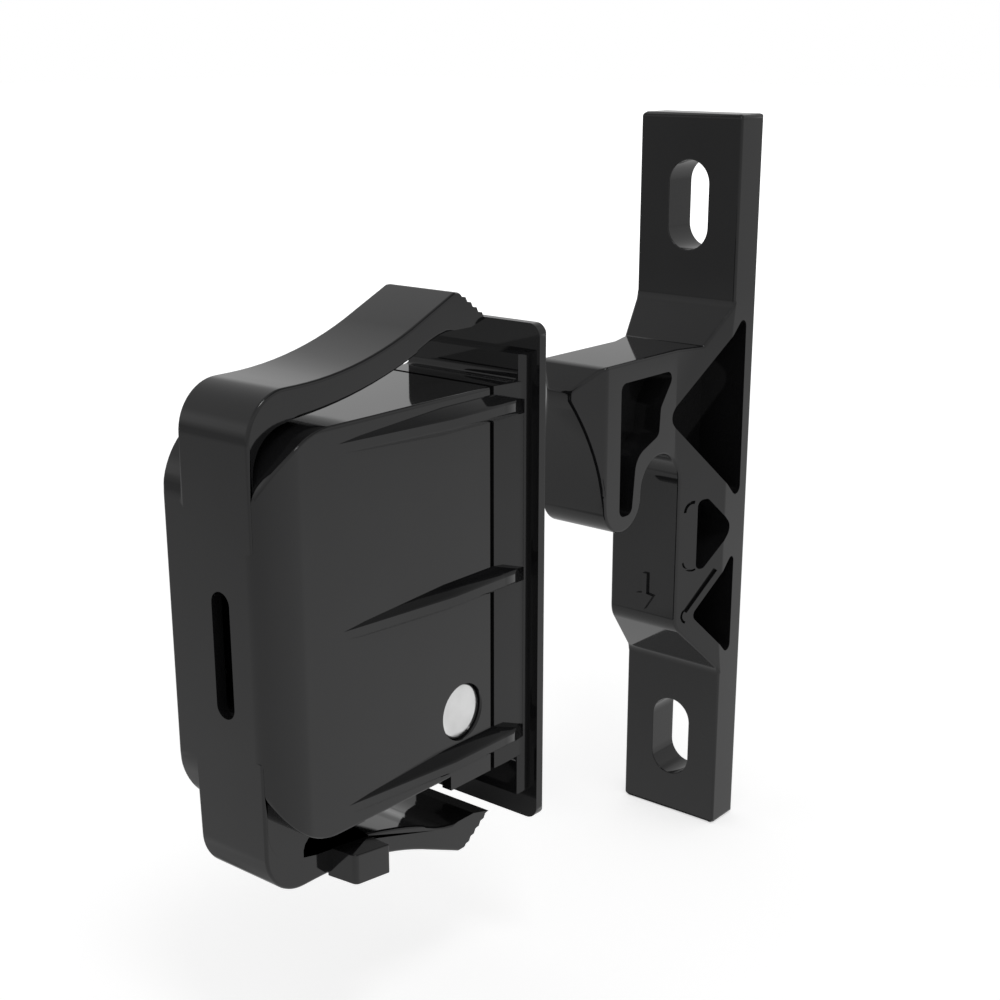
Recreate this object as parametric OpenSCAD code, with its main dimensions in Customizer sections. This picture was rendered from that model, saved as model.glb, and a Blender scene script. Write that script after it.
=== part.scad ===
// Push-to-close, pull-to-open panel latch with its separate keeper.
// The latch snaps into a cutout: its flange lies on the panel's front face and two sprung arms grip behind it.
// Frame: X points out of the panel toward the keeper, Z is up and Y = 0 is the mid-plane.
// The origin is on the flange's rear face, at the middle of the flange. Sizes are in millimetres.

/* [Flange] */
// Width of the flange
flange_w = 17.7; // [16.5:0.1:22]
// Height of the flange
flange_h = 54.1; // [52:0.1:60]
// Thickness of the flange
flange_t = 1.15; // [0.8:0.05:2]
// Radius of the flange's four corners
flange_corner = 1.4; // [0.5:0.1:3]
// Top of the pad that locates in the panel cutout
pad_top = 24.1; // [23:0.1:25]
// Bottom of that pad, below the middle of the flange
pad_bottom = 23.9; // [23:0.1:25]
// Depth of the pad behind the flange
pad_t = 1.5; // [1:0.1:2]

/* [Housing] */
// Width of the housing over its side walls
body_w = 14.46; // [14:0.02:15]
// Top of the housing above the middle of the flange
body_top = 21.5; // [21:0.1:22]
// Bottom of the housing below the middle of the flange
body_bottom = 18.1; // [17.5:0.1:19]
// Distance from the flange's rear face to the housing's back
body_depth = 35.1; // [34.5:0.1:36]
// Wall thickness of the housing and the skirt
wall = 1.2; // [1:0.1:1.3]
// Radius of the upper and lower rear corners
rear_corner = 7.3; // [6:0.05:9]
// Radius of the rounded rear edge on the keyed side
side_round = 3.6; // [2:0.1:3.8]
// Distance from the flange's rear face to the seam
seam_depth = 5.2; // [4.5:0.1:6]
// Open width of the seam
seam_gap = 0.6; // [0.3:0.1:1]
// Width of the slot in the back wall
slot_w = 2.4; // [1.5:0.1:3]
// Height of the slot in the back wall
slot_h = 12.4; // [8:0.1:14]

/* [Snap arms] */
// Width of each arm
arm_w = 9.2; // [7:0.1:10]
// Height about which the two arms mirror each other
arm_mid = 0.8; // [0:0.1:1.5]
// Radius of the arm's outer bend
arm_bend = 4.6; // [4:0.1:5]
// Thickness of the arm just after the bend
arm_t = 3.1; // [2.5:0.1:3.5]
// Thickness of the thin web that lets the arm flex
arm_web = 0.5; // [0.4:0.1:0.8]
// Height of the arm's crest above the arms' mid height
arm_crest = 29.85; // [29:0.05:30.5]
// Count of grip teeth on the arm's end
teeth = 5; // [4:1:7]

/* [Side ribs] */
// Length of a rib from its start to the flange
rib_len = 26.8; // [20:0.1:28]
// Greatest stand-off of a rib from the side wall
rib_proud = 1.5; // [0.8:0.05:1.55]
// Length of the stretch over which a rib rises out of the wall
rib_rise = 13.9; // [10:0.1:18]
// Height of a rib at its root
rib_h = 2.77; // [2:0.01:3]
// Height of a rib's flat face
rib_face_h = 0.84; // [0.5:0.02:1]
// Mid height of the upper rib
rib_top_z = 19.3; // [18:0.1:19.5]
// Mid height of the middle rib
rib_mid_z = 1.6; // [0:0.05:4]
// Mid height of the lower rib
rib_low_z = -16.0; // [-16.2:0.1:-14]

/* [Pivot and claw] */
// Diameter of the steel pin
pin_d = 6.0; // [5.5:0.1:6.2]
// Distance from the flange's rear face to the pin's axis
pin_back = 10.2; // [10:0.1:10.4]
// Depth of the pin's axis below the middle of the flange
pin_low = 11.4; // [11.3:0.1:11.5]
// Radial clearance of the pin in the claw
claw_clear = 0.06; // [0.03:0.01:0.1]
// Width of the claw
claw_w = 9.2; // [8:0.1:9.4]
// Radius from the pin to the middle of the front finger's tip
finger_r = 15.0; // [14.8:0.1:15]
// Radius from the pin to the middle of the rear arm's tip
trip_r = 14.0; // [13.5:0.1:14]

/* [Keeper] */
// Height of the keeper's bar
bar_h = 89.5; // [88:0.1:95]
// Width of the keeper's bar
bar_w = 13.95; // [13:0.05:15]
// Thickness of the keeper's bar
bar_t = 4.9; // [4.5:0.1:6]
// Distance from the flange's rear face to the bar's front
bar_x = 39.6; // [39.6:0.1:60]
// Height of the bar's middle above the middle of the flange
bar_z = 0.88; // [0:0.02:1.5]
// Spacing of the two mounting slots, middle to middle
slot_pitch = 68.4; // [64:0.1:72]
// Width of a mounting slot
keeper_slot_w = 5.5; // [4.5:0.1:6]
// Height of a mounting slot
keeper_slot_h = 10.5; // [8:0.1:12]
// Width of the hook
hook_w = 9.1; // [8:0.1:9.3]
// Thickness of the web left between the pockets of the two sides
web_t = 1.8; // [1.2:0.1:3]

/* [Hidden] */
$fn = 96;
eps = 0.01;
rim_r = 0.2;
half_w = body_w / 2;
cavity_w = body_w - 2 * wall;
back_x = -body_depth;
seam_x = -seam_depth;
housing_front_x = seam_x - seam_gap;
pin_x = -pin_back;
pin_z = -pin_low;
black = [0.03, 0.03, 0.035];
steel = [0.78, 0.78, 0.8];

// Plug of the skirt inside the housing, and the mouth in the flange
plug_len = 2.6;
plug_clear = 0.05;
plug_t = 0.9;
mouth_w = cavity_w - 2 * (plug_clear + plug_t);
mouth_top = 20.0;
mouth_bottom = -8.5;
skirt_bottom = -19.5;
boss_r = 4.0;
boss_gap = 0.15;
ledge_in = 0.45;
// Draft of the skirt and of the pad: stand-off from the housing's side wall
skirt_flare = 0.27;
pad_flare_0 = 0.08;
pad_flare_1 = 0.38;
pad_straight = 0.38;

// Claw, drawn open: its front finger is below the hook's path
hub_r = 4.6;
finger_tip = 1.3;
finger_root = 2.3;
finger_angle = 39.3;
trip_tip = 1.5;
trip_root = 2.6;
trip_angle = 104.7;
tail_r = 7.0;
tail_angle = 164.5;
head_r = 1.3;
head_clear = 0.16;
neck_d = 2.2;
tail_x = pin_x + tail_r * cos(tail_angle);
tail_z = pin_z + tail_r * sin(tail_angle);

// Rocking seat of the spring on the back wall
seat_off = 2.3;
seat_x = back_x + wall + seat_off;
seat_z = -8.6;
seat_r = 1.8;
unit_len = norm([tail_x - seat_x, tail_z - seat_z]);
unit_angle = atan2(tail_z - seat_z, tail_x - seat_x);
wire_d = 0.8;
coil_d = 5.6;
coil_turns = 6;
rod_d = 3.0;
cup_flange_x = 2.3;
cup_flange_t = 1.0;
collar_t = 1.0;

// Keeper's outline in the frame, from the bar's front
hook_back = bar_x - 14.75;
block_x = bar_x - 7.25;
hook_face = bar_x - 21.95;
nose_x = bar_x - 24.9;
hook_top = 19.5;
hook_low = -0.25;
slope_low_z = -15.05;
bar_top = bar_z + bar_h / 2;
bar_bottom = bar_z - bar_h / 2;

// Extrudes an XZ outline from y0 to y1
module along_y(y0, y1) {
    translate([0, y1, 0]) rotate([90, 0, 0]) linear_extrude(y1 - y0) children();
}

// Extrudes a YZ outline from x0 to x1
module along_x(x0, x1) {
    translate([x0, 0, 0]) rotate([90, 0, 90]) linear_extrude(x1 - x0) children();
}

// Round bar along Y
module bar_y(x, z, r, y0, y1) {
    translate([x, y1, z]) rotate([90, 0, 0]) cylinder(r = r, h = y1 - y0);
}

// Rectangle with a radius for each corner: lower left, lower right, upper right, upper left
module rounded_rect(x0, x1, y0, y1, r) {
    difference() {
        translate([x0, y0]) square([x1 - x0, y1 - y0]);
        corner_cut(x0, y0, 1, 1, r[0]);
        corner_cut(x1, y0, -1, 1, r[1]);
        corner_cut(x1, y1, -1, -1, r[2]);
        corner_cut(x0, y1, 1, -1, r[3]);
    }
}

module corner_cut(x, y, sx, sy, r) {
    if (r > 0) translate([x, y]) scale([sx, sy]) difference() {
        translate([-1, -1]) square(r + 1);
        translate([r, r]) circle(r);
    }
}

// Straight bar that tapers from radius a at the start to radius b at the end.
// Its flanks lie a hair inside the tangents, so that they cross the circles cleanly.
module taper(a, b, length) {
    lean = acos((a - b) / length);
    along = [cos(lean), sin(lean)];
    far = [length, 0];
    p = (a - 0.02) * along;
    q = (b - 0.02) * along;
    circle(a);
    translate(far) circle(b);
    polygon([p, [p[0], -p[1]], far + [q[0], -q[1]], far + q]);
}

// Points of an outline with each corner rounded by its own radius
function unit(v) = v / norm(v);
function corner_arc(p0, p1, p2, r, steps) =
    let (a = unit(p0 - p1), b = unit(p2 - p1), half = acos(a * b) / 2,
        c = p1 + unit(a + b) * r / sin(half),
        s = p1 + a * r / tan(half) - c, e = p1 + b * r / tan(half) - c,
        from = atan2(s[1], s[0]), turn = atan2(s[0] * e[1] - s[1] * e[0], s * e))
    [for (i = [0:steps]) c + r * [cos(from + turn * i / steps), sin(from + turn * i / steps)]];
function rounded(points, radii, steps = 6) =
    let (n = len(points))
    [for (i = [0:n - 1]) each radii[i] == 0 ? [points[i]] :
        corner_arc(points[(i + n - 1) % n], points[i], points[(i + 1) % n], radii[i], steps)];

// Side outline of one snap arm, for the upper arm, measured from the arms' mid height
module arm_outline() {
    bend_x = back_x + arm_bend;
    top_z = 24.25;
    bend_z = top_z - arm_bend;
    crest_x = -7.9;
    run_x = -12.6;
    tip_x = -3.0;
    tip_z = 26.9;
    under_z = 26.25;
    sweep_r = 39.2;
    under_r = 53.9;
    under_c = [-32.4, top_z - arm_t + under_r];
    difference() {
        union() {
            intersection() {
                union() {
                    translate([bend_x, bend_z]) circle(arm_bend);
                    translate([back_x, 10]) square([arm_bend, bend_z - 10]);
                }
                translate([back_x - 1, 10]) square([arm_bend + 1, 20]);
            }
            intersection() {
                polygon([[bend_x - eps, top_z], [-28.9, top_z], [-28.9, 31], [-16, 31], [run_x, 27.8],
                    [crest_x, arm_crest], [-7.1, arm_crest], [tip_x, tip_z], [-5.5, under_z],
                    [-12, 21], [bend_x - eps, 18]]);
                union() {
                    translate(under_c) circle(under_r, $fn = 180);
                    translate([-13, 20]) square([20, 20]);
                }
            }
        }
        translate([-28.9, top_z + sweep_r]) circle(sweep_r, $fn = 180);
        difference() {
            translate([-13, 15]) square([7.5, under_z - 15]);
            polygon([[-13.2, 30], [-13.2, 24.85], [-12.6, 25.1], [-11.4, 25.6], [-10.2, 25.98], [-9.1, 26.18],
                [-8, under_z], [-5, under_z], [-5, 30]]);
        }
        difference() {
            translate([back_x + arm_web, 5]) square([40, 10 + bend_z]);
            arm_solid_part(bend_x, bend_z);
        }
        grip_cuts(crest_x, tip_x, tip_z);
    }
}

// What stays of the arm to the right of the thin web
module arm_solid_part(bend_x, bend_z) {
    inner_r = arm_bend - 0.3;
    inner_x = back_x + arm_web + inner_r;
    difference() {
        translate([back_x, bend_z - 3.2]) square([40, 30]);
        translate([inner_x, bend_z - arm_t + 0.3]) circle(inner_r);
        translate([inner_x, 5]) square([40, 12.4]);
    }
}

// Saw teeth on the end of the arm: each falls steeply, then runs out to the next point
module grip_cuts(crest_x, tip_x, tip_z) {
    start = [-7.1, arm_crest];
    step = ([tip_x, tip_z] - start) / teeth;
    for (i = [0:teeth - 1]) {
        p = start + step * i;
        q = p + step;
        out = [1.2, 1.2];
        polygon([p, p + [0.3 * step[0], 0.78 * step[1]], p + [0.42 * step[0], 0.86 * step[1]], q, q + out,
            p + out]);
    }
}

module snap_arm() {
    along_y(-arm_w / 2, arm_w / 2) arm_outline();
}

module keying_lug() {
    lug_half = half_w + 0.25;
    root = -arm_w / 2 + 0.6;
    intersection() {
        along_y(-lug_half, root)
            polygon([[-28, -20.75], [-21.4, -21.69], [-21.4, -24.78], [-28, -23.95]]);
        linear_extrude(80, center = true)
            polygon(rounded([[-26.8, root], [-21.4, root], [-21.6, -lug_half], [-26.35, -lug_half]],
                [0, 0, 0.25, 0.55]));
    }
}

// Section of a rib with its face at y = 0, body toward +y
module rib_section() {
    edge = 0.3;
    half = rib_h / 2;
    face = rib_face_h / 2;
    polygon([[0, -face], [edge, -face - edge], [rib_proud, -half], [4, -half], [4, half],
        [rib_proud, half], [edge, face + edge], [0, face]]);
}

// One side rib on the keyed side: it leans out of the wall, runs level and falls off again at the flange
module rib(z) {
    root_y = -half_w + 0.3;
    face_y = -half_w - rib_proud;
    half = rib_h / 2;
    level_x = rib_rise - rib_len;
    translate([0, 0, z]) intersection() {
        along_y(-half_w - 2, root_y)
            polygon(rounded([[-rib_len - 1, -half], [0, -half], [0, 0], [-5.4, half], [-rib_len - 1, half]],
                [0, 0.65, 0.8, 1.5, 0]));
        translate([0, 0, -2]) linear_extrude(4)
            polygon([[-rib_len, root_y], [-rib_len, -half_w - 2], [-3.7 * 2 / 1.5, -half_w - 2], [0, -half_w],
                [0, root_y]]);
        translate([0, face_y, 0]) along_x(-rib_len - 1, 0) rib_section();
        translate([level_x, face_y, 0]) rotate([0, 0, -atan(rib_proud / rib_rise)])
            along_x(-rib_rise - 2, 20) rib_section();
    }
}

// The six ribs, three on each side, cut to the stretch from x0 to x1
module ribs(x0, x1) {
    for (side = [0, 1]) mirror([0, side, 0]) for (z = [rib_top_z, rib_mid_z, rib_low_z])
        intersection() {
            rib(z);
            translate([x0, -half_w - 3, z - 3]) cube([x1 - x0, 4, 6]);
        }
}

module housing_shell() {
    inner_corner = rear_corner - wall;
    difference() {
        intersection() {
            along_y(-half_w, half_w)
                rounded_rect(back_x, housing_front_x, -body_bottom, body_top, [rear_corner, 0, 0, rear_corner]);
            translate([0, 0, -40]) linear_extrude(80)
                rounded_rect(back_x, housing_front_x, -half_w, half_w, [side_round, 0, 0, 0.4]);
            along_x(back_x, housing_front_x)
                rounded_rect(-half_w, half_w, -body_bottom, body_top, [0.3, 0.3, 0.3, 0.3]);
        }
        intersection() {
            along_y(-cavity_w / 2, cavity_w / 2)
                rounded_rect(back_x + wall, 0, -body_bottom + wall, body_top - wall,
                    [inner_corner, 0, 0, inner_corner]);
            translate([0, 0, -40]) linear_extrude(80)
                rounded_rect(back_x + wall, 0, -cavity_w / 2, cavity_w / 2, [side_round - wall, 0, 0, 0]);
        }
        slot_z = 0.35;
        along_x(back_x - 1, back_x + wall + 1)
            rounded_rect(-slot_w / 2, slot_w / 2, slot_z - slot_h / 2, slot_z + slot_h / 2,
                [1, 1, 1, 1] * slot_w / 2);
    }
}

module rear_housing() {
    color(black) difference() {
        union() {
            housing_shell();
            translate([0, 0, arm_mid]) snap_arm();
            translate([0, 0, arm_mid]) mirror([0, 0, 1]) snap_arm();
            keying_lug();
            ribs(-40, seam_x);
            for (side = [-1, 1]) {
                // Foot under the side wall, in line with the skirt's lower edge
                translate([-12.1, side * (half_w - wall / 2) - wall / 2, skirt_bottom])
                    cube([12.1 - seam_depth - seam_gap, wall, 2.2]);
                // Boss that takes up the side play of the claw
                bar_y(pin_x, pin_z, boss_r, side > 0 ? claw_w / 2 + boss_gap : -half_w + 0.4,
                    side > 0 ? half_w - 0.4 : -claw_w / 2 - boss_gap);
            }
            cradle();
        }
        bar_y(pin_x, pin_z, pin_d / 2 + 0.03, -half_w - 1, half_w + 1);
    }
}

// Block on the back wall in which the spring cup rocks
module cradle() {
    difference() {
        translate([back_x + wall - 0.2, -5, seat_z - 3]) cube([seat_x - back_x - wall, 10, 6]);
        bar_y(seat_x, seat_z, seat_r + 0.05, -6, 6);
    }
}

module front_bezel() {
    skirt_x = seam_x - plug_len;
    color(black) difference() {
        union() {
            // Ledge under the seam, against the housing's front edge
            along_x(seam_x - seam_gap, seam_x + eps)
                rounded_rect(-half_w + ledge_in, half_w - ledge_in, skirt_bottom + ledge_in,
                    body_top - ledge_in, [0.3, 0.3, 0.3, 0.3]);
            // Flange with softened front edges
            intersection() {
                along_x(0, flange_t) rounded_rect(-flange_w / 2, flange_w / 2, -flange_h / 2, flange_h / 2,
                    [1, 1, 1, 1] * flange_corner);
                along_y(-flange_w, flange_w)
                    rounded_rect(0, flange_t, -flange_h / 2, flange_h / 2, [0, rim_r, rim_r, 0]);
                translate([0, 0, -flange_h]) linear_extrude(2 * flange_h)
                    rounded_rect(0, flange_t, -flange_w / 2, flange_w / 2, [0, rim_r, rim_r, 0]);
            }
            flared(-pad_t, -pad_bottom, pad_top, pad_flare_0, pad_flare_1, -pad_straight);
            flared(seam_x, skirt_bottom, body_top, 0, skirt_flare, -pad_t);
            skirt_fillets();
            ribs(seam_x, 0.02);
            along_x(skirt_x, seam_x + eps)
                rounded_rect(-cavity_w / 2 + plug_clear, cavity_w / 2 - plug_clear,
                    -body_bottom + wall + plug_clear, body_top - wall - plug_clear, [0.2, 0.2, 0.2, 0.2]);
        }
        // Passage for the hook and the claw
        along_x(skirt_x - 1, -pad_t)
            rounded_rect(-mouth_w / 2, mouth_w / 2, -body_bottom + wall + plug_t, mouth_top,
                [0.5, 0.5, 0.5, 0.5]);
        along_x(-pad_t - 1, flange_t + 1)
            rounded_rect(-mouth_w / 2, mouth_w / 2, mouth_bottom, mouth_top, [0.6, 0.6, 0.6, 0.6]);
        // Room for the bosses round the pin
        bar_y(pin_x, pin_z, hub_r + 0.4, -cavity_w / 2, cavity_w / 2);
    }
}

// Block from x0 to the flange that widens from one stand-off at x0 to another at x1
module flared(x0, z0, z1, off_0, off_1, x1) {
    intersection() {
        along_x(x0, eps)
            rounded_rect(-half_w - off_1, half_w + off_1, z0, z1, [0.4, 0.4, 0.4, 0.4]);
        translate([0, 0, -40]) linear_extrude(80)
            polygon([[x0, -half_w - off_0], [x1, -half_w - off_1], [1, -half_w - off_1],
                [1, half_w + off_1], [x1, half_w + off_1], [x0, half_w + off_0]]);
    }
}

// Fillets between the skirt and the pad, over and under the body
module skirt_fillets() {
    r = 0.8;
    along_y(-half_w, half_w) {
        difference() {
            translate([-pad_t - r, body_top - eps]) square([r + eps, r]);
            translate([-pad_t - r, body_top + r]) circle(r);
        }
        difference() {
            translate([-pad_t - r, skirt_bottom - r]) square([r + eps, r + eps]);
            translate([-pad_t - r, skirt_bottom - r]) circle(r);
        }
    }
}

module catch_claw() {
    color(black) difference() {
        along_y(-claw_w / 2, claw_w / 2) translate([pin_x, pin_z]) {
            circle(hub_r);
            rotate(finger_angle) taper(finger_root, finger_tip, finger_r);
            rotate(trip_angle) taper(trip_root, trip_tip, trip_r);
            rotate(tail_angle) translate([0, -2.2]) square([tail_r - 0.2, 4.4]);
        }
        bar_y(pin_x, pin_z, pin_d / 2 + claw_clear, -claw_w, claw_w);
        // Groove for the plunger's head
        bar_y(tail_x, tail_z, head_r + head_clear, -claw_w, claw_w);
        // Side reliefs that leave a web in each arm
        for (side = [-1, 1]) along_y(min(side * (claw_w / 2 - 1.6), side * claw_w),
            max(side * (claw_w / 2 - 1.6), side * claw_w)) translate([pin_x, pin_z]) {
            rotate(trip_angle) translate([6.6, 0]) taper(1.35, 0.8, 5.6);
            rotate(finger_angle) translate([6.4, 0]) taper(1.05, 0.6, 6.6);
        }
    }
}

module pivot_pin() {
    end_y = half_w - 0.12;
    bevel = 0.15;
    color(steel) translate([pin_x, -end_y, pin_z]) rotate([-90, 0, 0]) rotate_extrude()
        polygon([[0, 0], [pin_d / 2 - bevel, 0], [pin_d / 2, bevel], [pin_d / 2, 2 * end_y - bevel],
            [pin_d / 2 - bevel, 2 * end_y], [0, 2 * end_y]]);
}

// Places a piece of the spring unit: X runs from the rocking seat to the claw's tail
module on_unit() {
    translate([seat_x, 0, seat_z]) rotate([0, -unit_angle, 0]) children();
}

module rod_x(x0, x1, d) {
    translate([x0, 0, 0]) rotate([0, 90, 0]) cylinder(d = d, h = x1 - x0);
}

module spring_plunger() {
    color(steel) on_unit() {
        collar_x = unit_len - head_r - 0.9 - collar_t;
        rod_x(3.6, collar_x + eps, rod_d);
        rod_x(collar_x, collar_x + collar_t, coil_d + wire_d + 0.2);
        rod_x(collar_x + collar_t - eps, unit_len, neck_d);
        bar_y(unit_len, 0, head_r, -4.2, 4.2);
    }
}

module spring_cup() {
    color(black) on_unit() difference() {
        union() {
            bar_y(0, 0, seat_r, -4.4, 4.4);
            rod_x(0, cup_flange_x + eps, 2 * seat_r - 0.4);
            rod_x(cup_flange_x, cup_flange_x + 3.8, coil_d - wire_d - 0.4);
            rod_x(cup_flange_x, cup_flange_x + cup_flange_t, coil_d + wire_d + 0.2);
        }
        rod_x(3.0, 12, rod_d + 0.1);
    }
}

// Helical wire with 6 sides, closed at both ends
module toggle_spring() {
    x0 = cup_flange_x + cup_flange_t + wire_d / 2 + 0.02;
    x1 = unit_len - head_r - 0.9 - collar_t - wire_d / 2 - 0.02;
    per_turn = 12;
    rings = coil_turns * per_turn;
    sides = 6;
    ring = function (i)
        let (turn = 360 / per_turn * i, x = x0 + (x1 - x0) * i / rings)
        [for (s = [0:sides - 1]) let (a = 360 / sides * s, r = coil_d / 2 + wire_d / 2 * cos(a))
            [x + wire_d / 2 * sin(a), r * cos(turn), r * sin(turn)]];
    points = [for (i = [0:rings]) each ring(i)];
    faces = concat(
        [for (i = [0:rings - 1], s = [0:sides - 1]) let (n = (s + 1) % sides, a = i * sides, b = a + sides)
            each [[a + s, b + s, b + n], [a + s, b + n, a + n]]],
        [for (s = [1:sides - 2]) [0, s, s + 1]],
        [for (s = [1:sides - 2]) let (b = rings * sides) [b, b + s + 1, b + s]]);
    color(steel) on_unit() polyhedron(points, faces);
}

// Side outline of the keeper without its pockets
module keeper_outline() {
    tip_r = (hook_back - hook_face) / 2;
    gap_r = (block_x - hook_back) / 2;
    gap_x = hook_back + gap_r;
    gap_z = 7.45 - gap_r;
    front_r = 38;
    difference() {
        polygon(rounded([[nose_x, 16.9], [hook_face - 0.3, hook_top], [bar_x - 4.3, hook_top],
            [bar_x, hook_top + 4.3], [bar_x, bar_top], [bar_x + bar_t, bar_top],
            [bar_x + bar_t, bar_bottom], [bar_x, bar_bottom], [bar_x, slope_low_z - 7.25],
            [block_x, slope_low_z], [block_x, gap_z], [hook_back, gap_z], [hook_back, hook_low],
            [hook_face, hook_low], [hook_face, hook_low + tip_r], [nose_x, 15]],
            [0.8, 1.2, 0.3, 1.6, 0.5, 0.5, 0.5, 0.5, 1.6, 2.8, 0, 0, 0, 0, 0, 0]));
        // Round tip of the hook
        difference() {
            translate([hook_face - 1, hook_low - 1]) square([2 * tip_r + 2, tip_r + 1]);
            translate([hook_face + tip_r, hook_low + tip_r]) circle(tip_r);
        }
        translate([gap_x, gap_z]) circle(gap_r);
        // Hollow sweep of the hook's front face
        translate([hook_face - front_r, 1.1]) circle(front_r, $fn = 180);
    }
}

// Plan outline of the keeper: narrow hook with its lead-in bevels, wider bar
module keeper_plan(inset = 0) {
    neck = hook_w / 2 - inset;
    wide = bar_w / 2 - inset;
    lead = 2.95;
    right = [[nose_x - 1, -neck + lead + 1], [nose_x + lead, -neck], [bar_x - 8.1, -neck],
        [bar_x - 0.3, -wide + 0.1], [bar_x - 0.01, -wide], [bar_x + bar_t, -wide]];
    left = [for (i = [len(right) - 1:-1:0]) [right[i][0], -right[i][1]]];
    polygon(concat(right, left));
}

// Outlines of the four pockets in each side of the keeper
module hook_pocket() {
    polygon(rounded([[20.35, 17.2], [31.3, 17.2], [28.35, 13.2], [28.1, 9.95], [23.6, 8.2], [22.9, 1.6],
        [20.45, 1.6]], [0.9, 0.9, 1.4, 1.0, 2.6, 0.95, 0.95]));
}

module upper_pocket() {
    polygon(rounded([[42.45, 22.9], [42.7, -0.9], [30.2, 11.5]], [0.8, 0.9, 1.3]));
}

module middle_pocket() {
    polygon(rounded([[35.3, 0.72], [36.85, 0.72], [41.22, -3.61], [36.45, -8.1], [35.3, -8.1]],
        [0.85, 0.7, 1.25, 0.6, 0.7]));
}

module lower_pocket() {
    polygon(rounded([[41.95, -6.7], [41.95, -21.2], [34.85, -14.0]], [0.6, 0.8, 0.9]));
}

// Part of a ring from one angle to another
module ring_part(x, z, r, t, from, to) {
    steps = 12;
    turn = (to - from) / steps;
    translate([x, z]) polygon(concat([for (i = [0:steps]) r * unit_at(from + turn * i)],
        [for (i = [steps:-1:0]) (r - t) * unit_at(from + turn * i)]));
}
function unit_at(angle) = [cos(angle), sin(angle)];

// Fine grooves that frame the middle and lower pockets
module pocket_grooves() {
    ring_part(34.55, -0.55, 1.35, 0.4, 75, 180);
    ring_part(34.75, -6.6, 1.6, 0.25, 190, 290);
    polygon([[38.1, -8.4], [38.7, -8.8], [34.15, -13.45], [33.6, -13.1]]);
    ring_part(34.3, -13.8, 1.08, 0.3, 130, 250);
}

// Raised arrow on the block's front
module arrow() {
    mid = -0.42;
    polygon([[mid - 0.32, -8.8], [mid - 0.32, -11.4], [mid - 1.24, -11.55], [mid, -13.5], [mid + 1.24, -11.55],
        [mid + 0.32, -11.4], [mid + 0.32, -8.8]]);
}

module keeper() {
    color(black) difference() {
        union() {
            intersection() {
                along_y(-bar_w, bar_w) keeper_outline();
                translate([0, 0, -60]) linear_extrude(120) keeper_plan();
                along_x(0, 80)
                    rounded_rect(-bar_w / 2, bar_w / 2, bar_bottom, bar_top, [0.6, 0.6, 0.6, 0.6]);
            }
            along_x(block_x - 0.35, block_x + 0.2) arrow();
        }
        // Softened long edges of the bar
        translate([0, 0, -60]) linear_extrude(120) for (side = [-1, 1]) scale([1, side])
            corner_cut(bar_x + bar_t, -bar_w / 2, -1, 1, 0.5);
        for (side = [-1, 1]) scale([1, side, 1]) along_y(-bar_w, -web_t / 2) {
            translate([bar_x - 39.6, 0]) {
                hook_pocket();
                upper_pocket();
                middle_pocket();
                lower_pocket();
            }
        }
        // Grooves round the pockets, in the slanted flanks
        intersection() {
            along_y(-bar_w, bar_w) translate([bar_x - 39.6, 0]) pocket_grooves();
            translate([0, 0, -40]) linear_extrude(50) difference() {
                keeper_plan(-1);
                keeper_plan(0.4);
            }
        }
        for (end = [-1, 1]) along_x(bar_x - 1, bar_x + bar_t + 1)
            rounded_rect(-keeper_slot_w / 2, keeper_slot_w / 2,
                bar_z + end * slot_pitch / 2 - keeper_slot_h / 2,
                bar_z + end * slot_pitch / 2 + keeper_slot_h / 2, [1, 1, 1, 1] * keeper_slot_w / 2);
    }
}

rear_housing();
front_bezel();
catch_claw();
pivot_pin();
spring_plunger();
spring_cup();
toggle_spring();
keeper();
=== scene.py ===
import math

import bmesh
import bpy
from mathutils import Matrix, Vector


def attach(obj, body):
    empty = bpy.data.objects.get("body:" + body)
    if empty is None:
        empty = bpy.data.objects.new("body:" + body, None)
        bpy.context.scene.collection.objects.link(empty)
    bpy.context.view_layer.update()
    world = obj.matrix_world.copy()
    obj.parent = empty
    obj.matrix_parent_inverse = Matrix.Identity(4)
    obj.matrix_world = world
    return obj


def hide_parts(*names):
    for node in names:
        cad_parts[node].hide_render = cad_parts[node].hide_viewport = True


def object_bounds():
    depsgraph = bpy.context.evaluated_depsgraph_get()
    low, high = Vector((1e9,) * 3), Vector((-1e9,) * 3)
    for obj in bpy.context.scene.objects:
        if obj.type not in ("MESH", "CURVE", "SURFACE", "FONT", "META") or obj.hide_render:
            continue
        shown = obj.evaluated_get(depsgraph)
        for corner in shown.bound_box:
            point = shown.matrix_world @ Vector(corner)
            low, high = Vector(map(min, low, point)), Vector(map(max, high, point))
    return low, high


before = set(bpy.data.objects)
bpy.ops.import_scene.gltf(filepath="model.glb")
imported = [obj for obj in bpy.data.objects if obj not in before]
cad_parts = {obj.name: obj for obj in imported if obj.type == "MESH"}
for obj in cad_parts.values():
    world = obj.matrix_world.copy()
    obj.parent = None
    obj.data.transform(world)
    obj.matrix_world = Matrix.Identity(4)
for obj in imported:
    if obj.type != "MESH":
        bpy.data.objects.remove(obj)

bl_info = {
    "name": "Push-to-close latch",
    "version": (1, 0, 0),
    "blender": (4, 5, 0),
    "location": "3D View > Sidebar > Latch",
    "description": "Dresses a snap-in panel latch and its keeper, and sets a pale studio round them",
    "category": "Object",
}

MM = 0.001
CAD_BOX = [list(corner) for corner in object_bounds()]

# Places and lengths on the latch are in millimetres in the shared frame
# Half the width of the housing's arms, the height midway between them, and where their crests are
ARM_HALF = 4.6
ARM_MID_Z = 0.8
ARM_CREST_X = -7.05

# Middle and radius of the arms' inner bends, with the height counted from midway
BEND_IN = (-30.3, 16.85)
BEND_IN_R = 4.3

# How far off an arm's flank, outside its inner bend and past its crest a point still counts as on it
NEAR_FLANK = 0.03
NEAR_BEND = 0.08
NEAR_CREST = 0.1

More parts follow.
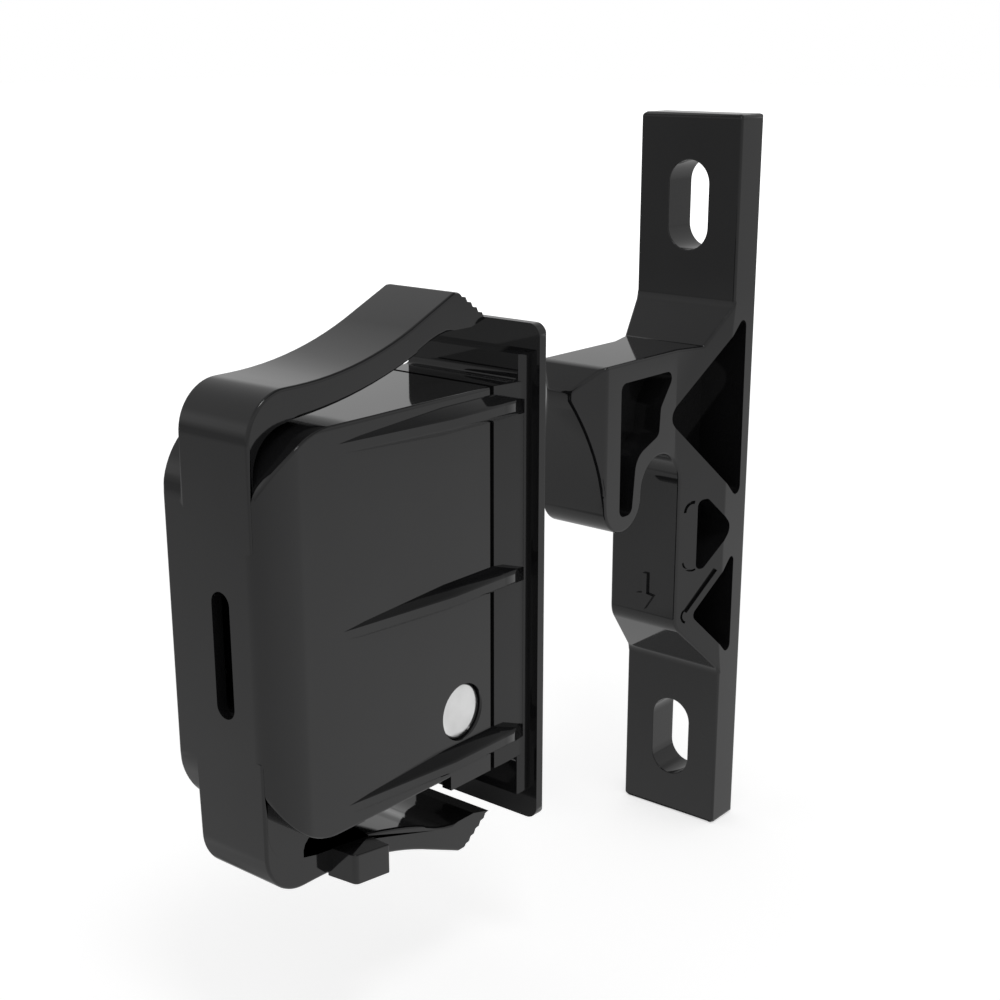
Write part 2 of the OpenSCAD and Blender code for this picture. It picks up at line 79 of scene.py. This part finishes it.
# The lower arm's root: its arc along the bend and its arc along the body's corner, in degrees and steps
ROOT_BEND_ARC = (180, 268, 12)
ROOT_CORNER_ARC = (270, 192, 12)
ROOT_CORNER = (-27.8, -10.8)
ROOT_CORNER_R = 7.0

# How far the root laps into the bend and stands past the flanks, and the round end of the gap beside it
ROOT_LAP = 0.2
ROOT_PROUD = 0.01
GAP_END = [(-30.45, -19.7), (-30.22, -19.1), (-29.75, -18.65), (-29.1, -18.35), (-28.2, -18.15)]

# The pin: its middle, its radius, the radius of its rim, and how far the middle of its end stands out
PIN_MIDDLE = Vector((-10.2, 0.0, -11.4))
PIN_R = 3.0
PIN_RIM_R = 0.3
PIN_DOME = 0.05

# The pin's end as steps outward and along from the rim's centre, and its steps round the axis
PIN_RIM = ((-1.2, 0.33), (-0.5, 0.31), (0.0, 0.28), (0.15, 0.24), (0.24, 0.14), (0.28, 0.0))
PIN_STEPS = 96

# The cut on the hook's corners: its place, and half the hook's width there
HOOK_CUT_X = 17.65
HOOK_HALF = 4.55

# Height of the cut's top and of its foot, each with how near the slivers to close lie
HOOK_CUT_ENDS = ((19.49, 0.6), (3.45, 0.3))

# Groups of edges to round, by their smallest and largest reach and with their rounding
BODY_CORNER_EDGES = (6.2, 6.7, 0.22)
LUG_EDGES = (5.2, 5.7, 0.12)
KEEPER_SLOT_EDGES = (10.3, 10.7, 0.12)
KEEPER_OUTLINE_REACH = (60.0, 200.0)
ROUNDING_SEGMENTS = 3

# Points of a mesh this near are one point, and faces within this angle are one face
SAME_CAD_POINT = 0.002
SAME_SPUN_POINT = 0.001
SAME_FACE = math.radians(0.4)

# Edges are rounded above the first angle, and shaded smooth below the second, or on the pin the third
SHARP = math.radians(24)
SMOOTH = math.radians(32)
PIN_SMOOTH = math.radians(50)

# Two large flat faces that meet at more than this angle keep a crisp fold between them
FOLD = math.radians(12)
FOLD_AREA = 15 * MM * MM

# The lighter plastic of the flow clouds and the darker steel, as shares of the base colour
FLOW_LIGHT = 1.5
TARNISH_DARK = 0.88

# Patterns of the materials, in counts per metre, and the depth of their relief in millimetres
FLOW_SCALE = 90.0
SMUDGE_SCALE = 160.0
GRAIN_SCALE = 2600.0
TARNISH_SCALE = 300.0
SCRATCH_SCALE = 900.0
RING_SCALE = 2200.0
RELIEF = 0.01

# The floor and the lamp, in millimetres
FLOOR_HALF = 3000.0
FLOOR_GAP = 0.02
LAMP_PLACE = (-110, -190, 490)
LAMP_SIDES = (120, 120)

# Distances on the floor, in metres: where its lift grows, its painted far dimming comes in and the painted
# shadow ends
LIFT_GROWS = (0.15, 0.6)
FAR_COMES_IN = (0.1, 0.5)
PAINTED_SHADOW_ENDS = (0.055, 0.075)

# The painted shadow's end toward the front, its end past the latch by X in metres, and its tone
PAINTED_SHADOW_BEHIND = (0.3, 0.5)
PAINTED_SHADOW_UNDER_LATCH = (-0.026, -0.014)
PAINTED_SHADOW_TONE = 0.1

# Share of the near painted glow that the far floor keeps in reflections, behind and in front
FAR_SHARES = (0.55, 0.72)

# Tones of a plain wall and of the window's wall in reflections, by height from the horizon to straight up
WALL_TONES = ((0.0, 0.5), (0.1, 0.57), (0.4, 0.62), (0.62, 0.62), (0.8, 0.5), (1.0, 0.42))
WINDOW_TONES = ((0.0, 0.3), (0.09, 0.5), (0.19, 0.78), (0.3, 0.82), (0.44, 0.55), (0.8, 0.45), (1.0, 0.42))

# Where the window's wall comes in toward the side, and the dark ceiling by height and by how far ahead
WINDOW_COMES_IN = (0.6, 0.78)
DARK_COMES_IN = (0.6, 0.74)
DARK_AHEAD = (0.2, 0.45)

# The heading that counts as ahead
AHEAD_X = 0.94
AHEAD_Y = -0.34


def cad_copy(node):
    """A merged copy of a CAD node's mesh, with its flat triangles joined into faces."""
    bm = bmesh.new()
    bm.from_mesh(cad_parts[node].data)
    bmesh.ops.remove_doubles(bm, verts=bm.verts[:], dist=SAME_CAD_POINT * MM)
    bmesh.ops.dissolve_limit(bm, angle_limit=SAME_FACE, verts=bm.verts[:], edges=bm.edges[:])
    bmesh.ops.recalc_face_normals(bm, faces=bm.faces[:])
    return bm


def finish_piece(bm, name, node, body, material, smooth=SMOOTH):
    """Turns a bmesh into a shown piece that stands for its CAD node."""
    for face in bm.faces:
        face.smooth = True
    for edge in bm.edges:
        angle = edge.calc_face_angle(math.pi)
        fold = angle > FOLD and min((f.calc_area() for f in edge.link_faces), default=0.0) > FOLD_AREA
        edge.smooth = angle < smooth and not fold
    mesh = bpy.data.meshes.new(name)
    bm.to_mesh(mesh)
    bm.free()
    mesh.materials.append(material)
    piece = bpy.data.objects.new(name, mesh)
    bpy.context.scene.collection.objects.link(piece)
    weighted = piece.modifiers.new("flat faces stay flat", "WEIGHTED_NORMAL")
    weighted.keep_sharp = True
    weighted.weight = 100
    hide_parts(node)
    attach(piece, body)


def is_sharp_convex(edge):
    """True where two faces meet in an outward corner."""
    return len(edge.link_faces) == 2 and edge.calc_face_angle_signed(0.0) > SHARP


def ends_mm(edge):
    """Both ends of an edge in millimetres."""
    return [v.co / MM for v in edge.verts]


def bevel_edges(bm, edges, width_mm):
    """Rounds edges with one even width."""
    bmesh.ops.bevel(bm, geom=edges, offset=width_mm * MM, offset_type="OFFSET", affect="EDGES",
                    segments=ROUNDING_SEGMENTS, profile=0.5, material=-1, clamp_overlap=False)


def edge_groups(bm):
    """Sharp outward edges, gathered into groups that touch one another."""
    left = {e for e in bm.edges if is_sharp_convex(e)}
    groups = []
    while left:
        group, front = [], [left.pop()]
        while front:
            edge = front.pop()
            group.append(edge)
            for vert in edge.verts:
                for other in vert.link_edges:
                    if other in left:
                        left.remove(other)
                        front.append(other)
        groups.append(group)
    return groups


def reach_mm(group):
    """Longest side of the box round a group of edges."""
    points = [p for e in group for p in ends_mm(e)]
    return max(max(p[i] for p in points) - min(p[i] for p in points) for i in range(3))


def round_groups(bm, smallest_mm, largest_mm, width_mm):
    """Rounds every group of sharp outward edges whose reach lies between two sizes."""
    edges = [e for g in edge_groups(bm) if smallest_mm <= reach_mm(g) < largest_mm for e in g]
    bevel_edges(bm, edges, width_mm)


def add_prism(bm, outline_mm, half_mm):
    """A prism along Y from an XZ outline."""
    verts = [bm.verts.new((x * MM, -half_mm * MM, z * MM)) for x, z in outline_mm]
    base = bm.faces.new(verts)
    grown = bmesh.ops.extrude_face_region(bm, geom=[base])["geom"]
    moved = [v for v in grown if isinstance(v, bmesh.types.BMVert)]
    bmesh.ops.translate(bm, verts=moved, vec=(0.0, 2 * half_mm * MM, 0.0))


def arc_mm(centre, radius, first_deg, last_deg, steps):
    """Points along an arc in the XZ plane."""
    turn = (last_deg - first_deg) / steps
    return [(centre[0] + radius * math.cos(math.radians(first_deg + turn * i)),
             centre[1] + radius * math.sin(math.radians(first_deg + turn * i))) for i in range(steps + 1)]


def turned_solid(profile_mm, steps):
    """A closed solid spun about the Y axis from its outline, points of radius and length."""
    bm = bmesh.new()
    rim = [bm.verts.new((radius * MM, length * MM, 0.0)) for radius, length in profile_mm]
    line = [bm.edges.new(pair) for pair in zip(rim, rim[1:])]
    bmesh.ops.spin(bm, geom=rim + line, cent=(0, 0, 0), axis=(0, 1, 0), angle=math.tau, steps=steps,
                   use_merge=True)
    bmesh.ops.remove_doubles(bm, verts=bm.verts[:], dist=SAME_SPUN_POINT * MM)
    bmesh.ops.recalc_face_normals(bm, faces=bm.faces[:])
    return bm


def new_material(name):
    """A node material with its tree's nodes and links, and its shader."""
    material = bpy.data.materials.new(name)
    material.use_nodes = True
    nodes = material.node_tree.nodes
    links = material.node_tree.links
    shader = nodes["Principled BSDF"]
    return material, nodes, links, shader


def noise(nodes, links, coords, scale, detail=3.0, roughness=0.5):
    """Noise from 0 to 1; scale counts per metre."""
    texture = nodes.new("ShaderNodeTexNoise")
    texture.inputs["Scale"].default_value = scale
    texture.inputs["Detail"].default_value = detail
    texture.inputs["Roughness"].default_value = roughness
    links.new(coords, texture.inputs["Vector"])
    return texture.outputs["Fac"]


def spread(nodes, links, value, low, high, from_low=0.3, from_high=0.7):
    """Maps a value between from_low and from_high onto low to high, and holds it there outside."""
    node = nodes.new("ShaderNodeMapRange")
    node.inputs["From Min"].default_value = from_low
    node.inputs["From Max"].default_value = from_high
    node.inputs["To Min"].default_value = low
    node.inputs["To Max"].default_value = high
    links.new(value, node.inputs["Value"])
    return node.outputs["Result"]


def moved_coords(nodes, links, move):
    """Object coordinates, moved by three lengths in metres."""
    mapping = nodes.new("ShaderNodeMapping")
    mapping.inputs["Location"].default_value = move
    links.new(nodes.new("ShaderNodeTexCoord").outputs["Object"], mapping.inputs["Vector"])
    return mapping.outputs["Vector"]


def clouded_colour(nodes, links, shader, cloud, first, second):
    """A base colour that drifts between two colours with a cloud noise."""
    tint = nodes.new("ShaderNodeMix")
    tint.data_type = "RGBA"
    tint.inputs["A"].default_value = (*first, 1.0)
    tint.inputs["B"].default_value = (*second, 1.0)
    links.new(spread(nodes, links, cloud, 0.0, 1.0), tint.inputs["Factor"])
    links.new(tint.outputs["Result"], shader.inputs["Base Color"])


def fine_relief(nodes, links, shader, height, strength):
    """A very shallow bump from a 0 to 1 height."""
    bump = nodes.new("ShaderNodeBump")
    bump.inputs["Strength"].default_value = strength
    bump.inputs["Distance"].default_value = RELIEF * MM
    links.new(height, bump.inputs["Height"])
    links.new(bump.outputs["Normal"], shader.inputs["Normal"])


def moulded_plastic(name, shift=0.0, ior=1.5):
    """Glossy black moulding: faint flow clouding, fine texture and a few handling smudges."""
    material, nodes, links, shader = new_material(name)
    coords = moved_coords(nodes, links, (shift, shift * 0.7, shift * 0.4))
    cloud = noise(nodes, links, coords, FLOW_SCALE, detail=4.0)
    colour = look().plastic_colour
    clouded_colour(nodes, links, shader, cloud, colour, [c * FLOW_LIGHT for c in colour])
    smudge = noise(nodes, links, coords, SMUDGE_SCALE, detail=5.0, roughness=0.62)
    rough = look().plastic_roughness
    links.new(spread(nodes, links, smudge, rough - 0.01, rough + 0.02), shader.inputs["Roughness"])
    grain = noise(nodes, links, coords, GRAIN_SCALE, detail=2.0)
    fine_relief(nodes, links, shader, grain, strength=0.05)
    shader.inputs["IOR"].default_value = ior
    return material


def turned_steel(name, rough, centre_mm=(0.0, 0.0, 0.0)):
    """Bright steel with fine turned rings about an axis along Y."""
    material, nodes, links, shader = new_material(name)
    coords = moved_coords(nodes, links, [-c * MM for c in centre_mm])
    cloud = noise(nodes, links, coords, TARNISH_SCALE, detail=4.0)
    colour = look().steel_colour
    clouded_colour(nodes, links, shader, cloud, [c * TARNISH_DARK for c in colour], colour)
    shader.inputs["Metallic"].default_value = 1.0
    scratch = noise(nodes, links, coords, SCRATCH_SCALE, detail=3.0)
    links.new(spread(nodes, links, scratch, rough - 0.04, rough + 0.08), shader.inputs["Roughness"])
    rings = nodes.new("ShaderNodeTexWave")
    rings.wave_type = "RINGS"
    rings.rings_direction = "Y"
    rings.inputs["Scale"].default_value = RING_SCALE
    rings.inputs["Distortion"].default_value = 0.4
    links.new(coords, rings.inputs["Vector"])
    fine_relief(nodes, links, shader, rings.outputs["Fac"], strength=0.06)
    return material


class LatchLook(bpy.types.PropertyGroup):
    """Finish and edge sizes of the latch's pieces."""

    plastic_colour: bpy.props.FloatVectorProperty(
        name="Plastic colour", description="Base colour of the black moulding", subtype="COLOR",
        size=3, min=0.0, max=1.0, default=(0.0075, 0.0075, 0.0079))
    plastic_roughness: bpy.props.FloatProperty(
        name="Plastic roughness", description="Mean roughness of the moulding", min=0.0, max=1.0,
        default=0.05)
    steel_colour: bpy.props.FloatVectorProperty(
        name="Steel colour", description="Base colour of the pin and the spring", subtype="COLOR",
        size=3, min=0.0, max=1.0, default=(0.84, 0.84, 0.84))
    pin_half_mm: bpy.props.FloatProperty(
        name="Pin half length", description="Half the length of the pin's turned body in millimetres",
        min=6.0, max=7.1, default=6.88)
    edge_mm: bpy.props.FloatProperty(
        name="Edge rounding", description="Rounding of the moulded edges in millimetres", min=0.1,
        max=0.5, default=0.32)


class StudioLook(bpy.types.PropertyGroup):
    """Camera, floor and light."""

    focal_mm: bpy.props.FloatProperty(
        name="Focal length", description="Camera focal length in millimetres", min=20.0, max=120.0,
        default=58.43)
    camera_azimuth: bpy.props.FloatProperty(
        name="Camera heading", description="Heading of the view, from +X toward +Y, in degrees",
        default=39.4395)
    camera_pitch: bpy.props.FloatProperty(
        name="Camera pitch", description="How far the camera looks down, in degrees", default=17.5748)
    camera_place: bpy.props.FloatVectorProperty(
        name="Camera place", description="Camera position in millimetres", size=3,
        default=(-125.52, -106.975, 54.11))
    frame_shift: bpy.props.FloatVectorProperty(
        name="Frame shift", description="Lens shift in frame widths", size=2,
        default=(0.00014, 0.05047))
    lamp_power: bpy.props.FloatProperty(
        name="Lamp power", description="Power of the soft lamp overhead in watts", min=0.0, max=5.0,
        default=0.3)
    room_tone: bpy.props.FloatProperty(
        name="Room tone", description="Even light of the room on matt surfaces", min=0.0, max=1.0,
        default=0.5)
    ceiling_tone: bpy.props.FloatProperty(
        name="Ceiling tone", description="Tone of the dark patch of ceiling in reflections", min=0.0,
        max=1.0, default=0.17)
    floor_lift: bpy.props.FloatProperty(
        name="Floor lift", description="Brightness added to the floor for the camera", min=0.0, max=1.0,
        default=0.59)
    # The floor's painted light in reflections, toward the front and behind
    bright_side: bpy.props.FloatProperty(
        name="Bright side", description="Floor tone in reflections toward the front", min=0.0, max=2.0,
        default=0.86)
    dim_side: bpy.props.FloatProperty(
        name="Dim side", description="Floor tone in reflections behind the object", min=0.0, max=2.0,
        default=0.55)
    floor_colour: bpy.props.FloatVectorProperty(
        name="Floor colour", description="Colour of the floor", subtype="COLOR", size=3, min=0.0,
        max=1.0, default=(0.8, 0.8, 0.8))


def look():
    """The latch's finish, as the panel has it."""
    return bpy.context.scene.latch_look


def studio():
    """The studio's values, as the panel has them."""
    return bpy.context.scene.latch_studio


class LATCH_OT_housing(bpy.types.Operator):
    """Make the housing with its two snap arms"""

    bl_idname = "latch.housing"
    bl_label = "Rear housing"

    def execute(self, context):
        bm = cad_copy("rear_housing")

        def inside_bend(p):
            rise = abs(p.z - ARM_MID_Z)
            apart = math.hypot(p.x - BEND_IN[0], rise - BEND_IN[1])
            return p.x < BEND_IN[0] and apart < BEND_IN_R + NEAR_BEND

        def on_arm(a, b):
            flank = all(abs(abs(p.y) - ARM_HALF) < NEAR_FLANK for p in (a, b))
            behind = max(a.x, b.x) < ARM_CREST_X + NEAR_CREST
            return flank and behind and not (inside_bend(a) and inside_bend(b))

        on_arms = [e for e in bm.edges if is_sharp_convex(e) and on_arm(*ends_mm(e))]
        bevel_edges(bm, on_arms, look().edge_mm)
        round_groups(bm, *BODY_CORNER_EDGES)
        round_groups(bm, *LUG_EDGES)
        # Root of the lower arm: solid between the bend and the body, up to the round end of the gap
        bend = (BEND_IN[0], ARM_MID_Z - BEND_IN[1])
        outer = arc_mm(bend, BEND_IN_R + ROOT_LAP, *ROOT_BEND_ARC)
        inner = arc_mm(ROOT_CORNER, ROOT_CORNER_R, *ROOT_CORNER_ARC)
        add_prism(bm, outer + GAP_END + inner, ARM_HALF + ROOT_PROUD)
        finish_piece(bm, "rear_housing_moulding", "rear_housing", "latch_case",
                     moulded_plastic("housing black"))
        return {"FINISHED"}


class LATCH_OT_bezel(bpy.types.Operator):
    """Make the front flange with its skirt"""

    bl_idname = "latch.bezel"
    bl_label = "Front bezel"

    def execute(self, context):
        bm = cad_copy("front_bezel")
        finish_piece(bm, "front_bezel_moulding", "front_bezel", "latch_case",
                     moulded_plastic("bezel black", shift=0.013, ior=1.44))
        return {"FINISHED"}


class LATCH_OT_claw(bpy.types.Operator):
    """Make the pivoting claw"""

    bl_idname = "latch.claw"
    bl_label = "Catch claw"

    def execute(self, context):
        bm = cad_copy("catch_claw")
        finish_piece(bm, "catch_claw_moulding", "catch_claw", "claw",
                     moulded_plastic("claw black", shift=0.027))
        return {"FINISHED"}


class LATCH_OT_keeper(bpy.types.Operator):
    """Make the keeper bar with its hook"""

    bl_idname = "latch.keeper"
    bl_label = "Keeper"

    def execute(self, context):
        bm = cad_copy("keeper")
        # Slivers where the hook's corner cut ends are closed, so that the rounding runs clean
        for height, reach in HOOK_CUT_ENDS:
            for side in (-1, 1):
                corner = Vector((HOOK_CUT_X, side * HOOK_HALF, height)) * MM
                near = [v for v in bm.verts if (v.co - corner).length < reach * MM]
                bmesh.ops.pointmerge(bm, verts=near, merge_co=corner)
        round_groups(bm, *KEEPER_OUTLINE_REACH, look().edge_mm)
        round_groups(bm, *KEEPER_SLOT_EDGES)
        finish_piece(bm, "keeper_moulding", "keeper", "keeper_bar",
                     moulded_plastic("keeper black", shift=0.041))
        return {"FINISHED"}


class LATCH_OT_metal(bpy.types.Operator):
    """Make the turned pin, and finish the spring unit behind the claw"""

    bl_idname = "latch.metal"
    bl_label = "Pin and spring"

    def execute(self, context):
        half = look().pin_half_mm
        profile = [(0.0, half + PIN_DOME)]
        profile += [(PIN_R - PIN_RIM_R + out, half - PIN_RIM_R + along) for out, along in PIN_RIM]
        profile += [(radius, -length) for radius, length in reversed(profile)]
        bm = turned_solid(profile, PIN_STEPS)
        bmesh.ops.translate(bm, verts=bm.verts[:], vec=PIN_MIDDLE * MM)
        steel = turned_steel("pin steel", rough=0.16, centre_mm=PIN_MIDDLE)
        finish_piece(bm, "pivot_pin_turned", "pivot_pin", "latch_case", steel, PIN_SMOOTH)
        wire = turned_steel("spring wire", rough=0.3)
        black = moulded_plastic("cup black", shift=0.06)
        for node, material in (("spring_plunger", wire), ("toggle_spring", wire), ("spring_cup", black)):
            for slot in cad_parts[node].material_slots:
                slot.material = material
        return {"FINISHED"}


def area_lamp(name, place_mm, size_mm, power):
    """A soft lamp that looks at the origin."""
    light = bpy.data.lights.new(name, "AREA")
    light.shape = "RECTANGLE"
    light.size = size_mm[0] * MM
    light.size_y = size_mm[1] * MM
    light.energy = power
    lamp = bpy.data.objects.new(name, light)
    place = Vector(place_mm) * MM
    lamp.location = place
    lamp.rotation_euler = (-place).to_track_quat("-Z", "Y").to_euler()
    bpy.context.scene.collection.objects.link(lamp)


def set_camera(s):
    """The photograph's camera, from its place, heading and pitch."""
    heading, pitch = math.radians(s.camera_azimuth), math.radians(s.camera_pitch)
    level = Vector((math.cos(heading), math.sin(heading), 0.0))
    forward = level * math.cos(pitch) - Vector((0.0, 0.0, math.sin(pitch)))
    right = Vector((math.sin(heading), -math.cos(heading), 0.0))
    up = right.cross(forward)
    data = bpy.data.cameras.new("camera")
    data.sensor_width = 36.0
    data.lens = s.focal_mm
    data.shift_x, data.shift_y = s.frame_shift
    data.clip_start = 0.005
    camera = bpy.data.objects.new("camera", data)
    turn = Matrix((right, up, -forward)).transposed().to_4x4()
    camera.matrix_world = Matrix.Translation(Vector(s.camera_place) * MM) @ turn
    bpy.context.scene.collection.objects.link(camera)
    bpy.context.scene.camera = camera


def math_node(nodes, links, operation, first, second):
    """One step of arithmetic on two values or sockets."""
    node = nodes.new("ShaderNodeMath")
    node.operation = operation
    for socket, value in zip(node.inputs, (first, second)):
        if isinstance(value, (int, float)):
            socket.default_value = value
        else:
            links.new(value, socket)
    return node.outputs["Value"]


def mix_values(nodes, links, factor, first, second):
    """From first to second as factor goes from 0 to 1."""
    node = nodes.new("ShaderNodeMix")
    for name, value in (("Factor", factor), ("A", first), ("B", second)):
        if isinstance(value, (int, float)):
            node.inputs[name].default_value = value
        else:
            links.new(value, node.inputs[name])
    return node.outputs["Result"]


def ramp(nodes, links, value, stops):
    """A smooth run of grey tones over a 0 to 1 value."""
    node = nodes.new("ShaderNodeValToRGB")
    elements = node.color_ramp.elements
    while len(elements) < len(stops):
        elements.new(0.5)
    for element, (place, tone) in zip(elements, stops):
        element.position = place
        element.color = (tone, tone, tone, 1.0)
    links.new(value, node.inputs["Fac"])
    return node.outputs["Color"]


def floor_material(s):
    """Pale matt floor: white to the camera but for the object's shadow; in reflections it glows with
    painted light and a painted shadow by place.
    """
    material, nodes, links, shader = new_material("studio floor")
    shader.inputs["Base Color"].default_value = (*s.floor_colour, 1.0)
    shader.inputs["Roughness"].default_value = 1.0
    shader.inputs["Specular IOR Level"].default_value = 0.0
    place = nodes.new("ShaderNodeTexCoord").outputs["Object"]
    axes = nodes.new("ShaderNodeSeparateXYZ")
    links.new(place, axes.inputs[0])
    length = nodes.new("ShaderNodeVectorMath")
    length.operation = "LENGTH"
    links.new(place, length.inputs[0])
    far = length.outputs["Value"]
    path = nodes.new("ShaderNodeLightPath")
    # To the camera: a lift that grows with distance, so that the floor meets the white background
    lift = nodes.new("ShaderNodeEmission")
    grow = spread(nodes, links, far, s.floor_lift, 1.0, *LIFT_GROWS)
    shown = math_node(nodes, links, "MULTIPLY", grow, path.outputs["Is Camera Ray"])
    links.new(shown, lift.inputs["Strength"])
    add = nodes.new("ShaderNodeAddShader")
    links.new(shader.outputs["BSDF"], add.inputs[0])
    links.new(lift.outputs["Emission"], add.inputs[1])
    # Painted light for reflections: the floor glows brighter toward the front and darker far away, with a
    # painted shadow in the object's lee
    forward = math_node(nodes, links, "MULTIPLY", axes.outputs["Y"], -1.0)
    side = math_node(nodes, links, "DIVIDE", forward, math_node(nodes, links, "MAXIMUM", far, 0.02))
    front = spread(nodes, links, side, 0.0, 1.0, -1.0, 1.0)
    near_tone = mix_values(nodes, links, front, s.dim_side, s.bright_side)
    far_share = mix_values(nodes, links, front, *FAR_SHARES)
    share = mix_values(nodes, links, spread(nodes, links, far, 0.0, 1.0, *FAR_COMES_IN), 1.0, far_share)
    tone = math_node(nodes, links, "MULTIPLY", near_tone, share)
    # Painted shadow on the floor in reflections: dark near the latch, behind it and under it
    near = spread(nodes, links, far, 1.0, 0.0, *PAINTED_SHADOW_ENDS)
    behind = spread(nodes, links, front, 1.0, 0.0, *PAINTED_SHADOW_BEHIND)
    under_latch = spread(nodes, links, axes.outputs["X"], 1.0, 0.0, *PAINTED_SHADOW_UNDER_LATCH)
    painted_shadow = math_node(nodes, links, "MULTIPLY", near, behind)
    painted_shadow = math_node(nodes, links, "MULTIPLY", painted_shadow, under_latch)
    tone = mix_values(nodes, links, painted_shadow, tone, PAINTED_SHADOW_TONE)
    # The floor's painted light and painted shadow, shown only in reflections
    painted_floor_glow = nodes.new("ShaderNodeEmission")
    links.new(tone, painted_floor_glow.inputs["Strength"])
    mix = nodes.new("ShaderNodeMixShader")
    links.new(path.outputs["Is Glossy Ray"], mix.inputs["Fac"])
    links.new(add.outputs["Shader"], mix.inputs[1])
    links.new(painted_floor_glow.outputs["Emission"], mix.inputs[2])
    links.new(mix.outputs["Shader"], nodes["Material Output"].inputs["Surface"])
    return material


def studio_world(s):
    """White to the camera; in reflections pale walls, a bright window and a dark patch of ceiling."""
    world = bpy.data.worlds.new("studio room")
    bpy.context.scene.world = world
    world.use_nodes = True
    nodes, links = world.node_tree.nodes, world.node_tree.links
    nodes.clear()
    axes = nodes.new("ShaderNodeSeparateXYZ")
    links.new(nodes.new("ShaderNodeTexCoord").outputs["Generated"], axes.inputs[0])
    height = axes.outputs["Z"]
    wall = ramp(nodes, links, height, WALL_TONES)
    window = ramp(nodes, links, height, WINDOW_TONES)
    window_side = spread(nodes, links, axes.outputs["Y"], 0.0, 1.0, *WINDOW_COMES_IN)
    walls = mix_values(nodes, links, window_side, wall, window)
    ahead = math_node(nodes, links, "ADD", math_node(nodes, links, "MULTIPLY", axes.outputs["X"], AHEAD_X),
                      math_node(nodes, links, "MULTIPLY", axes.outputs["Y"], AHEAD_Y))
    dark = math_node(nodes, links, "MULTIPLY", spread(nodes, links, height, 0.0, 1.0, *DARK_COMES_IN),
                     spread(nodes, links, ahead, 0.0, 1.0, *DARK_AHEAD))
    tone = mix_values(nodes, links, dark, walls, s.ceiling_tone)
    path = nodes.new("ShaderNodeLightPath")
    glossy = mix_values(nodes, links, path.outputs["Is Glossy Ray"], s.room_tone, tone)
    white = mix_values(nodes, links, path.outputs["Is Camera Ray"], glossy, 1.0)
    room = nodes.new("ShaderNodeBackground")
    room.inputs["Color"].default_value = (1.0, 1.0, 1.0, 1.0)
    links.new(white, room.inputs["Strength"])
    out = nodes.new("ShaderNodeOutputWorld")
    links.new(room.outputs["Background"], out.inputs["Surface"])


class LATCH_OT_studio(bpy.types.Operator):
    """Set the floor, the lamp, the room and the camera"""

    bl_idname = "latch.studio"
    bl_label = "Studio"

    def execute(self, context):
        s = studio()
        scene = context.scene
        scene.view_settings.view_transform = "Standard"
        bm = bmesh.new()
        bmesh.ops.create_grid(bm, x_segments=1, y_segments=1, size=FLOOR_HALF * MM)
        bmesh.ops.translate(bm, verts=bm.verts[:], vec=(0.0, 0.0, CAD_BOX[0][2] - FLOOR_GAP * MM))
        mesh = bpy.data.meshes.new("studio_floor")
        bm.to_mesh(mesh)
        bm.free()
        mesh.materials.append(floor_material(s))
        floor = bpy.data.objects.new("studio_floor", mesh)
        scene.collection.objects.link(floor)
        studio_world(s)
        area_lamp("overhead", LAMP_PLACE, LAMP_SIDES, s.lamp_power)
        set_camera(s)
        return {"FINISHED"}


STEPS = (LATCH_OT_housing, LATCH_OT_bezel, LATCH_OT_claw, LATCH_OT_keeper, LATCH_OT_metal, LATCH_OT_studio)


class LATCH_PT_panel(bpy.types.Panel):
    """Sizes, finishes and the pieces in their order"""

    bl_idname = "LATCH_PT_panel"
    bl_label = "Latch"
    bl_space_type = "VIEW_3D"
    bl_region_type = "UI"
    bl_category = "Latch"

    def draw(self, context):
        column = self.layout.column()
        for group in (context.scene.latch_look, context.scene.latch_studio):
            for name in group.__annotations__:
                column.prop(group, name)
        for step in STEPS:
            column.operator(step.bl_idname)


CLASSES = (LatchLook, StudioLook, *STEPS, LATCH_PT_panel)


def register():
    for cls in CLASSES:
        bpy.utils.register_class(cls)
    bpy.types.Scene.latch_look = bpy.props.PointerProperty(type=LatchLook)
    bpy.types.Scene.latch_studio = bpy.props.PointerProperty(type=StudioLook)


def unregister():
    del bpy.types.Scene.latch_studio
    del bpy.types.Scene.latch_look
    for cls in reversed(CLASSES):
        bpy.utils.unregister_class(cls)


def main():
    register()
    bpy.ops.latch.housing()
    bpy.ops.latch.bezel()
    bpy.ops.latch.claw()
    bpy.ops.latch.keeper()
    bpy.ops.latch.metal()
    bpy.ops.latch.studio()


if __name__ == "__main__":
    main()
